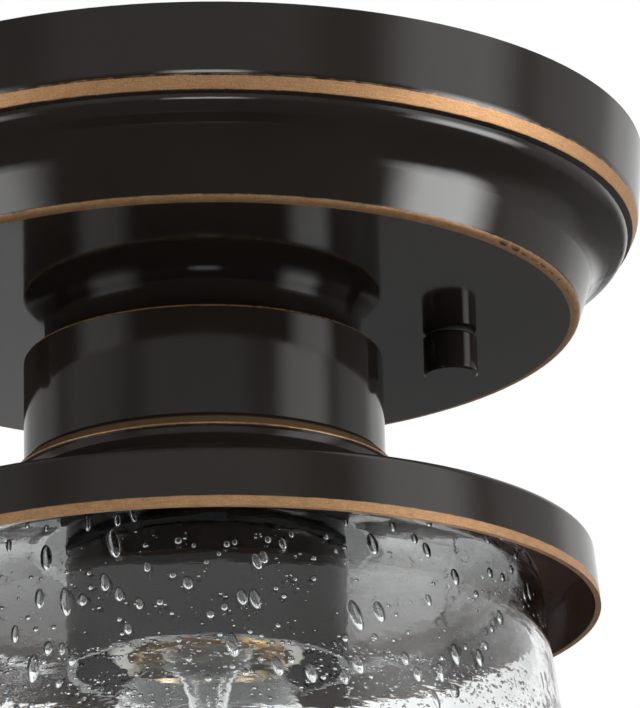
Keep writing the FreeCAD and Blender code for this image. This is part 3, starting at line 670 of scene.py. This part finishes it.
def add_filament_coil(material):
    """The real coil inside the filament's plain half ring."""
    low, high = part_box("lamp_filament")
    middle, half = (low.z + high.z) / 2, (high.z - low.z) / 2
    reach = (high.x - low.x) / 2 - half
    coil = half - COIL_WIRE
    count = COIL_TURNS * COIL_POINTS_PER_TURN
    curve = bpy.data.curves.new("filament_coil", "CURVE")
    curve.dimensions = "3D"
    curve.bevel_depth = COIL_WIRE
    curve.bevel_resolution = 2
    line = curve.splines.new("POLY")
    line.points.add(count)
    for i, point in enumerate(line.points):
        share = i / count
        swing, phase = math.pi * share, 2 * math.pi * COIL_TURNS * share
        radius = reach + coil * math.cos(phase)
        point.co = (radius * math.cos(swing), radius * math.sin(swing), middle + coil * math.sin(phase), 1)
    piece = add_piece("filament_coil", curve, material)
    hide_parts("lamp_filament")
    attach(piece, "lamp")


# ---------------------------------------------------------------- studio
# Soft boxes in the sky: from and to round the axis and above the horizon, softness of each, and brightness.
SOFT_BOXES = [
    ((54, 82), (-24, 3), (8, 9), 8.0),
    ((44, 78), (2, 62), (9, 8), 1.35),
    ((88, 128), (-30, 50), (8, 12), 0.3),
    ((-13, 5), (-7, 4), (5, 3), 6.0),
    ((-44, 22), (4, 40), (8, 8), 0.2),
    ((-90, -56), (-24, 3), (10, 8), 3.6),
    ((-100, -60), (14, 60), (8, 8), 0.2),
    ((125, 240), (4, 90), (8, 8), 0.72),
    ((-240, -114), (4, 90), (8, 8), 0.28),
    ((-240, -160), (4, 90), (8, 8), 0.2),
    ((130, 240), (-38, 0), (8, 8), 0.1),
    ((174, 240), (-38, 0), (2, 8), 0.3),
]

# Soft area lights: name, degrees round the axis and above the horizon, and power in watts.
LIGHTS = [("key", 60, 35, 9.0), ("fill", -75, 10, 5.0), ("top", 150, 60, 9.0)]
LIGHTS_AIM = Vector((0, 0, -0.1))       # in metres, as the distance and size are
LIGHTS_DISTANCE = 1.4
LIGHTS_SIZE = 0.7

FLOOR_HEIGHT = -0.75                    # in metres
FLOOR_RADIUS = 2.4

# The photograph's camera, found from the ellipses of the canopy, the neck and the cap.
CAMERA_PLACE = Vector((-86.95, -827.27, -315.68))
CAMERA_HEADING, CAMERA_PITCH = math.radians(7.429), math.radians(18.650)
CAMERA_ROLL = -0.0232037                # in radians
SENSOR_WIDTH, LENS = 36.0, 251.05


def world():
    """A dim sky with soft boxes for the reflections; the camera sees plain white, the glass a pale room."""
    made = bpy.data.worlds.new("studio")
    bpy.context.scene.world = made
    made.use_nodes = True
    tree = Tree(made.node_tree)
    x, y, z = tree.split(tree.node("ShaderNodeTexCoord").outputs["Generated"])
    around = tree.math("DEGREES", tree.math("ARCTAN2", x, tree.times(y, -1.0)))
    above = tree.math("DEGREES", tree.math("ARCSINE", z))
    level = tree.step(above, low=-14, high=10, to_low=0.07, to_high=0.21)
    for (a0, a1), (e0, e1), (sa, se), bright in SOFT_BOXES:
        lit = tree.times(tree.step(around, a0 - sa, a0 + sa), tree.step(around, a1 + sa, a1 - sa))
        lit = tree.times(lit, tree.step(above, e0 - se, e0 + se))
        lit = tree.times(lit, tree.step(above, e1 + se, e1 - se))
        level = tree.plus(level, tree.times(lit, bright))
    pale = tree.step(above, low=-60, high=-5, to_low=0.5, to_high=0.78)
    bright_corner = tree.step(around, low=173.5, high=176, to_high=0.35)
    room = tree.plus(tree.math("MAXIMUM", level, pale), bright_corner)
    room = tree.between(tree.step(above, low=4, high=14), room, 1.0)
    path = tree.node("ShaderNodeLightPath").outputs
    level = tree.between(path["Is Transmission Ray"], level, room)
    level = tree.between(path["Is Camera Ray"], level, 1.0)
    background = tree.node("ShaderNodeBackground")
    tree.put(background.inputs["Color"], WHITE)
    tree.put(background.inputs["Strength"], level)
    tree.put(tree.node("ShaderNodeOutputWorld").inputs[0], background.outputs[0])


def floor():
    """Pale round floor, well under the lantern, clear from below so that it hides nothing."""
    tree = Finish("floor")
    colour = tree.blend(tree.noise(tree.place, scale=0.004), FLOOR_DARK, FLOOR_LIGHT)
    tree.paint(colour, rough=0.8)
    one_sided = tree.node("ShaderNodeMixShader")
    tree.put(one_sided.inputs[0], tree.node("ShaderNodeNewGeometry").outputs["Backfacing"])
    tree.put(one_sided.inputs[1], tree.shader.outputs[0])
    tree.put(one_sided.inputs[2], tree.node("ShaderNodeBsdfTransparent").outputs[0])
    tree.put(tree.surface, one_sided.outputs[0])
    mesh = bmesh.new()
    bmesh.ops.create_circle(mesh, cap_ends=True, segments=96, radius=FLOOR_RADIUS)
    data = bpy.data.meshes.new("floor")
    mesh.to_mesh(data)
    mesh.free()
    made = add_piece("floor", data, tree.material)
    made.location.z = FLOOR_HEIGHT
    made.visible_glossy = False
    made.visible_transmission = False


def soft_light(name, around, above, power):
    """Soft area light that shapes the matt pieces and stays out of the reflections."""
    data = bpy.data.lights.new(name, "AREA")
    data.shape = "DISK"
    data.size = LIGHTS_SIZE
    data.energy = power
    made = bpy.data.objects.new(name, data)
    a, e = math.radians(around), math.radians(above)
    out = Vector((math.sin(a) * math.cos(e), -math.cos(a) * math.cos(e), math.sin(e)))
    made.location = LIGHTS_AIM + out * LIGHTS_DISTANCE
    made.rotation_mode = "QUATERNION"
    made.rotation_quaternion = out.to_track_quat("Z", "Y")
    made.visible_glossy = False
    made.visible_transmission = False
    bpy.context.scene.collection.objects.link(made)


def camera():
    """The photograph's camera: long lens, from below and a little left of the front."""
    data = bpy.data.cameras.new("photo_camera")
    data.sensor_width = SENSOR_WIDTH
    data.lens = LENS
    data.clip_start, data.clip_end = 0.05, 50.0
    made = bpy.data.objects.new("photo_camera", data)
    bpy.context.scene.collection.objects.link(made)
    heading, pitch = CAMERA_HEADING, CAMERA_PITCH
    level = Vector((math.sin(heading), math.cos(heading), 0.0))
    ahead = Vector((level.x * math.cos(pitch), level.y * math.cos(pitch), math.sin(pitch)))
    right = Vector((level.y, -level.x, 0.0))
    up = right.cross(ahead)
    side = right * math.cos(CAMERA_ROLL) + up * math.sin(CAMERA_ROLL)
    top = up * math.cos(CAMERA_ROLL) - right * math.sin(CAMERA_ROLL)
    turn = Matrix((side, top, -ahead)).transposed()
    made.matrix_world = Matrix.Translation(CAMERA_PLACE * MM) @ turn.to_4x4()
    bpy.context.scene.camera = made


def main():
    shade_glass, lamp_glass, wire = dress()
    add_seeds(shade_glass)
    add_stem(lamp_glass)
    add_filament_coil(wire)
    world()
    floor()
    for light in LIGHTS:
        soft_light(*light)
    camera()
    bpy.context.scene.view_settings.view_transform = "Standard"


main()
